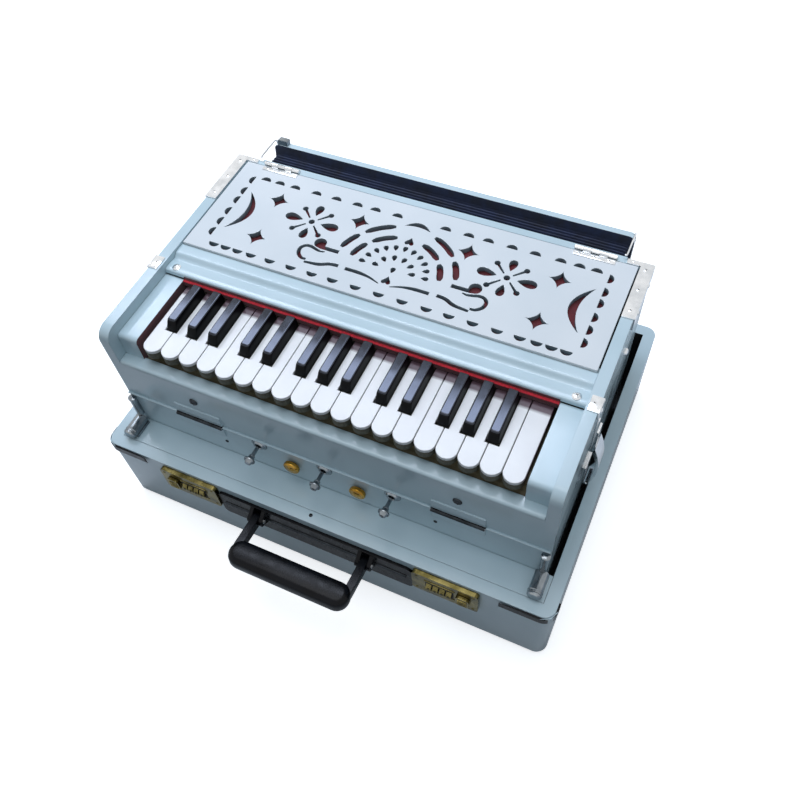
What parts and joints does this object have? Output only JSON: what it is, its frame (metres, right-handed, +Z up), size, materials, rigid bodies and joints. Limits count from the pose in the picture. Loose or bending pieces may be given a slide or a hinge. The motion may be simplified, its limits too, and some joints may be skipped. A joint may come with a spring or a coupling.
{
  "type": "indian harmonium",
  "caption": "Portable hand-pumped harmonium standing in its carrying case, with keys, sliding stops, a fretwork lid, rear bellows board, draw latches and a carrying handle.",
  "frame": {"origin": "middle of the case tray's flat underside", "axes": "+X to the player's right along the keyboard, +Y away from the player towards the bellows, +Z up"},
  "size_m": [0.507, 0.4325, 0.261],
  "materials": {
    "laminate": "pale grey gloss laminate on board",
    "chrome": "polished chrome plate",
    "brass": "polished brass",
    "gold": "gold-coloured plate",
    "black_plastic": "moulded, satin",
    "white_keys": "moulded, polished",
    "black_keys": "moulded, gloss",
    "wood": "planed pine, unvarnished",
    "bellows_cloth": "folded bellows cloth"
  },
  "bodies": {
    "case": {"case_tray": "laminate", "deck_board": "laminate", "handle_plate": "black_plastic", "combination_lock_left": "gold", "combination_lock_right": "gold", "lower_case": "laminate", "bellows_cloth": "bellows_cloth", "reservoir_cloth": "bellows_cloth"},
    "upper_section": {"upper_case": "laminate", "key_slip": "laminate", "front_moulding": "laminate", "reed_board": "wood", "balance_rail": "wood"},
    "lid": {"lid_board": "laminate"},
    "bellows": {"bellows_board": "laminate"},
    "reservoir": {"reservoir_board": "wood"},
    "handle": {"carry_handle": "black_plastic"},
    "air_stop_left": {"air_stop_left": "chrome"},
    "air_stop_middle": {"air_stop_middle": "chrome"},
    "air_stop_right": {"air_stop_right": "chrome"},
    "drone_stop_left": {"drone_stop_left": "brass"},
    "drone_stop_right": {"drone_stop_right": "brass"},
    "corner_bolt_left": {"corner_bolt_left": "chrome"},
    "corner_bolt_right": {"corner_bolt_right": "chrome"},
    "side_latch_left": {"side_latch_left": "chrome"},
    "side_latch_right": {"side_latch_right": "chrome"},
    "lock_slider_left": {"lock_slider_left": "gold"},
    "lock_slider_right": {"lock_slider_right": "gold"},
    "white_key_01": {"white_key_01": "white_keys"},
    "white_key_02": {"white_key_02": "white_keys"},
    "white_key_03": {"white_key_03": "white_keys"},
    "white_key_04": {"white_key_04": "white_keys"},
    "white_key_05": {"white_key_05": "white_keys"},
    "white_key_06": {"white_key_06": "white_keys"},
    "white_key_07": {"white_key_07": "white_keys"},
    "white_key_08": {"white_key_08": "white_keys"},
    "white_key_09": {"white_key_09": "white_keys"},
    "white_key_10": {"white_key_10": "white_keys"},
    "white_key_11": {"white_key_11": "white_keys"},
    "white_key_12": {"white_key_12": "white_keys"},
    "white_key_13": {"white_key_13": "white_keys"},
    "white_key_14": {"white_key_14": "white_keys"},
    "white_key_15": {"white_key_15": "white_keys"},
    "white_key_16": {"white_key_16": "white_keys"},
    "white_key_17": {"white_key_17": "white_keys"},
    "white_key_18": {"white_key_18": "white_keys"},
    "white_key_19": {"white_key_19": "white_keys"},
    "black_key_01": {"black_key_01": "black_keys"},
    "black_key_02": {"black_key_02": "black_keys"},
    "black_key_03": {"black_key_03": "black_keys"},
    "black_key_04": {"black_key_04": "black_keys"},
    "black_key_05": {"black_key_05": "black_keys"},
    "black_key_06": {"black_key_06": "black_keys"},
    "black_key_07": {"black_key_07": "black_keys"},
    "black_key_08": {"black_key_08": "black_keys"},
    "black_key_09": {"black_key_09": "black_keys"},
    "black_key_10": {"black_key_10": "black_keys"},
    "black_key_11": {"black_key_11": "black_keys"},
    "black_key_12": {"black_key_12": "black_keys"},
    "black_key_13": {"black_key_13": "black_keys"}
  },
  "joints": [
    {"name": "upper_section_tilt", "type": "hinge", "parent": "case", "child": "upper_section", "pos_m": [0, -0.144, 0.157], "axis": [1, 0, 0], "range_deg": [0, 90]},
    {"name": "lid_hinge", "type": "hinge", "parent": "upper_section", "child": "lid", "pos_m": [0, 0.1275, 0.258], "axis": [-1, 0, 0], "range_deg": [0, 100]},
    {"name": "bellows_pump", "type": "hinge", "parent": "case", "child": "bellows", "pos_m": [0, 0.139, 0.112], "axis": [-1, 0, 0], "range_deg": [-8.5, 18], "stiffness_Nm_per_rad": 6, "deforming": ["bellows_cloth"]},
    {"name": "reservoir_fill", "type": "slide", "parent": "case", "child": "reservoir", "axis": [0, 0, 1], "range_m": [-0.035, 0], "stiffness_N_per_m": 400, "springref_m": 0.03, "deforming": ["reservoir_cloth"]},
    {"name": "handle_swing", "type": "hinge", "parent": "case", "child": "handle", "pos_m": [0, -0.1925, 0.086], "axis": [1, 0, 0], "range_deg": [-80, 70]},
    {"name": "air_stop_left_slide", "type": "slide", "parent": "case", "child": "air_stop_left", "axis": [0, -1, 0], "range_m": [-0.013, 0]},
    {"name": "air_stop_middle_slide", "type": "slide", "parent": "case", "child": "air_stop_middle", "axis": [0, -1, 0], "range_m": [-0.013, 0]},
    {"name": "air_stop_right_slide", "type": "slide", "parent": "case", "child": "air_stop_right", "axis": [0, -1, 0], "range_m": [-0.013, 0]},
    {"name": "drone_stop_left_slide", "type": "slide", "parent": "case", "child": "drone_stop_left", "axis": [0, -1, 0], "range_m": [0, 0.012]},
    {"name": "corner_bolt_left_slide", "type": "slide", "parent": "case", "child": "corner_bolt_left", "axis": [0, -1, 0], "range_m": [0, 0.008]},
    {"name": "side_latch_left_throw", "type": "hinge", "parent": "case", "child": "side_latch_left", "pos_m": [-0.2361, -0.0365, 0.1255], "axis": [0, -1, 0], "range_deg": [0, 80]},
    {"name": "lock_slider_left_slide", "type": "slide", "parent": "case", "child": "lock_slider_left", "axis": [-1, 0, 0], "range_m": [0, 0.006], "stiffness_N_per_m": 100, "springref_m": -0.004},
    {"name": "drone_stop_right_slide", "type": "slide", "parent": "case", "child": "drone_stop_right", "axis": [0, -1, 0], "range_m": [0, 0.012]},
    {"name": "corner_bolt_right_slide", "type": "slide", "parent": "case", "child": "corner_bolt_right", "axis": [0, -1, 0], "range_m": [0, 0.008]},
    {"name": "side_latch_right_throw", "type": "hinge", "parent": "case", "child": "side_latch_right", "pos_m": [0.2361, -0.0365, 0.1255], "axis": [0, 1, 0], "range_deg": [0, 80]},
    {"name": "lock_slider_right_slide", "type": "slide", "parent": "case", "child": "lock_slider_right", "axis": [1, 0, 0], "range_m": [0, 0.006], "stiffness_N_per_m": 100, "springref_m": -0.004},
    {"name": "white_key_01_press", "type": "hinge", "parent": "upper_section", "child": "white_key_01", "pos_m": [0, 0.0165, 0.225], "axis": [1, 0, 0], "range_deg": [0, 2.6], "stiffness_Nm_per_rad": 1.5, "springref_deg": -6.88},
    {"name": "white_key_02_press", "type": "hinge", "parent": "upper_section", "child": "white_key_02", "pos_m": [0, 0.0165, 0.225], "axis": [1, 0, 0], "range_deg": [0, 2.6], "stiffness_Nm_per_rad": 1.5, "springref_deg": -6.88},
    {"name": "white_key_03_press", "type": "hinge", "parent": "upper_section", "child": "white_key_03", "pos_m": [0, 0.0165, 0.225], "axis": [1, 0, 0], "range_deg": [0, 2.6], "stiffness_Nm_per_rad": 1.5, "springref_deg": -6.88},
    {"name": "white_key_04_press", "type": "hinge", "parent": "upper_section", "child": "white_key_04", "pos_m": [0, 0.0165, 0.225], "axis": [1, 0, 0], "range_deg": [0, 2.6], "stiffness_Nm_per_rad": 1.5, "springref_deg": -6.88},
    {"name": "white_key_05_press", "type": "hinge", "parent": "upper_section", "child": "white_key_05", "pos_m": [0, 0.0165, 0.225], "axis": [1, 0, 0], "range_deg": [0, 2.6], "stiffness_Nm_per_rad": 1.5, "springref_deg": -6.88},
    {"name": "white_key_06_press", "type": "hinge", "parent": "upper_section", "child": "white_key_06", "pos_m": [0, 0.0165, 0.225], "axis": [1, 0, 0], "range_deg": [0, 2.6], "stiffness_Nm_per_rad": 1.5, "springref_deg": -6.88},
    {"name": "white_key_07_press", "type": "hinge", "parent": "upper_section", "child": "white_key_07", "pos_m": [0, 0.0165, 0.225], "axis": [1, 0, 0], "range_deg": [0, 2.6], "stiffness_Nm_per_rad": 1.5, "springref_deg": -6.88},
    {"name": "white_key_08_press", "type": "hinge", "parent": "upper_section", "child": "white_key_08", "pos_m": [0, 0.0165, 0.225], "axis": [1, 0, 0], "range_deg": [0, 2.6], "stiffness_Nm_per_rad": 1.5, "springref_deg": -6.88},
    {"name": "white_key_09_press", "type": "hinge", "parent": "upper_section", "child": "white_key_09", "pos_m": [0, 0.0165, 0.225], "axis": [1, 0, 0], "range_deg": [0, 2.6], "stiffness_Nm_per_rad": 1.5, "springref_deg": -6.88},
    {"name": "white_key_10_press", "type": "hinge", "parent": "upper_section", "child": "white_key_10", "pos_m": [0, 0.0165, 0.225], "axis": [1, 0, 0], "range_deg": [0, 2.6], "stiffness_Nm_per_rad": 1.5, "springref_deg": -6.88},
    {"name": "white_key_11_press", "type": "hinge", "parent": "upper_section", "child": "white_key_11", "pos_m": [0, 0.0165, 0.225], "axis": [1, 0, 0], "range_deg": [0, 2.6], "stiffness_Nm_per_rad": 1.5, "springref_deg": -6.88},
    {"name": "white_key_12_press", "type": "hinge", "parent": "upper_section", "child": "white_key_12", "pos_m": [0, 0.0165, 0.225], "axis": [1, 0, 0], "range_deg": [0, 2.6], "stiffness_Nm_per_rad": 1.5, "springref_deg": -6.88},
    {"name": "white_key_13_press", "type": "hinge", "parent": "upper_section", "child": "white_key_13", "pos_m": [0, 0.0165, 0.225], "axis": [1, 0, 0], "range_deg": [0, 2.6], "stiffness_Nm_per_rad": 1.5, "springref_deg": -6.88},
    {"name": "white_key_14_press", "type": "hinge", "parent": "upper_section", "child": "white_key_14", "pos_m": [0, 0.0165, 0.225], "axis": [1, 0, 0], "range_deg": [0, 2.6], "stiffness_Nm_per_rad": 1.5, "springref_deg": -6.88},
    {"name": "white_key_15_press", "type": "hinge", "parent": "upper_section", "child": "white_key_15", "pos_m": [0, 0.0165, 0.225], "axis": [1, 0, 0], "range_deg": [0, 2.6], "stiffness_Nm_per_rad": 1.5, "springref_deg": -6.88},
    {"name": "white_key_16_press", "type": "hinge", "parent": "upper_section", "child": "white_key_16", "pos_m": [0, 0.0165, 0.225], "axis": [1, 0, 0], "range_deg": [0, 2.6], "stiffness_Nm_per_rad": 1.5, "springref_deg": -6.88},
    {"name": "white_key_17_press", "type": "hinge", "parent": "upper_section", "child": "white_key_17", "pos_m": [0, 0.0165, 0.225], "axis": [1, 0, 0], "range_deg": [0, 2.6], "stiffness_Nm_per_rad": 1.5, "springref_deg": -6.88},
    {"name": "white_key_18_press", "type": "hinge", "parent": "upper_section", "child": "white_key_18", "pos_m": [0, 0.0165, 0.225], "axis": [1, 0, 0], "range_deg": [0, 2.6], "stiffness_Nm_per_rad": 1.5, "springref_deg": -6.88},
    {"name": "white_key_19_press", "type": "hinge", "parent": "upper_section", "child": "white_key_19", "pos_m": [0, 0.0165, 0.225], "axis": [1, 0, 0], "range_deg": [0, 2.6], "stiffness_Nm_per_rad": 1.5, "springref_deg": -6.88},
    {"name": "black_key_01_press", "type": "hinge", "parent": "upper_section", "child": "black_key_01", "pos_m": [0, 0.0165, 0.225], "axis": [1, 0, 0], "range_deg": [0, 2.6], "stiffness_Nm_per_rad": 1.5, "springref_deg": -6.88},
    {"name": "black_key_02_press", "type": "hinge", "parent": "upper_section", "child": "black_key_02", "pos_m": [0, 0.0165, 0.225], "axis": [1, 0, 0], "range_deg": [0, 2.6], "stiffness_Nm_per_rad": 1.5, "springref_deg": -6.88},
    {"name": "black_key_03_press", "type": "hinge", "parent": "upper_section", "child": "black_key_03", "pos_m": [0, 0.0165, 0.225], "axis": [1, 0, 0], "range_deg": [0, 2.6], "stiffness_Nm_per_rad": 1.5, "springref_deg": -6.88},
    {"name": "black_key_04_press", "type": "hinge", "parent": "upper_section", "child": "black_key_04", "pos_m": [0, 0.0165, 0.225], "axis": [1, 0, 0], "range_deg": [0, 2.6], "stiffness_Nm_per_rad": 1.5, "springref_deg": -6.88},
    {"name": "black_key_05_press", "type": "hinge", "parent": "upper_section", "child": "black_key_05", "pos_m": [0, 0.0165, 0.225], "axis": [1, 0, 0], "range_deg": [0, 2.6], "stiffness_Nm_per_rad": 1.5, "springref_deg": -6.88},
    {"name": "black_key_06_press", "type": "hinge", "parent": "upper_section", "child": "black_key_06", "pos_m": [0, 0.0165, 0.225], "axis": [1, 0, 0], "range_deg": [0, 2.6], "stiffness_Nm_per_rad": 1.5, "springref_deg": -6.88},
    {"name": "black_key_07_press", "type": "hinge", "parent": "upper_section", "child": "black_key_07", "pos_m": [0, 0.0165, 0.225], "axis": [1, 0, 0], "range_deg": [0, 2.6], "stiffness_Nm_per_rad": 1.5, "springref_deg": -6.88},
    {"name": "black_key_08_press", "type": "hinge", "parent": "upper_section", "child": "black_key_08", "pos_m": [0, 0.0165, 0.225], "axis": [1, 0, 0], "range_deg": [0, 2.6], "stiffness_Nm_per_rad": 1.5, "springref_deg": -6.88},
    {"name": "black_key_09_press", "type": "hinge", "parent": "upper_section", "child": "black_key_09", "pos_m": [0, 0.0165, 0.225], "axis": [1, 0, 0], "range_deg": [0, 2.6], "stiffness_Nm_per_rad": 1.5, "springref_deg": -6.88},
    {"name": "black_key_10_press", "type": "hinge", "parent": "upper_section", "child": "black_key_10", "pos_m": [0, 0.0165, 0.225], "axis": [1, 0, 0], "range_deg": [0, 2.6], "stiffness_Nm_per_rad": 1.5, "springref_deg": -6.88},
    {"name": "black_key_11_press", "type": "hinge", "parent": "upper_section", "child": "black_key_11", "pos_m": [0, 0.0165, 0.225], "axis": [1, 0, 0], "range_deg": [0, 2.6], "stiffness_Nm_per_rad": 1.5, "springref_deg": -6.88},
    {"name": "black_key_12_press", "type": "hinge", "parent": "upper_section", "child": "black_key_12", "pos_m": [0, 0.0165, 0.225], "axis": [1, 0, 0], "range_deg": [0, 2.6], "stiffness_Nm_per_rad": 1.5, "springref_deg": -6.88},
    {"name": "black_key_13_press", "type": "hinge", "parent": "upper_section", "child": "black_key_13", "pos_m": [0, 0.0165, 0.225], "axis": [1, 0, 0], "range_deg": [0, 2.6], "stiffness_Nm_per_rad": 1.5, "springref_deg": -6.88}
  ]
}
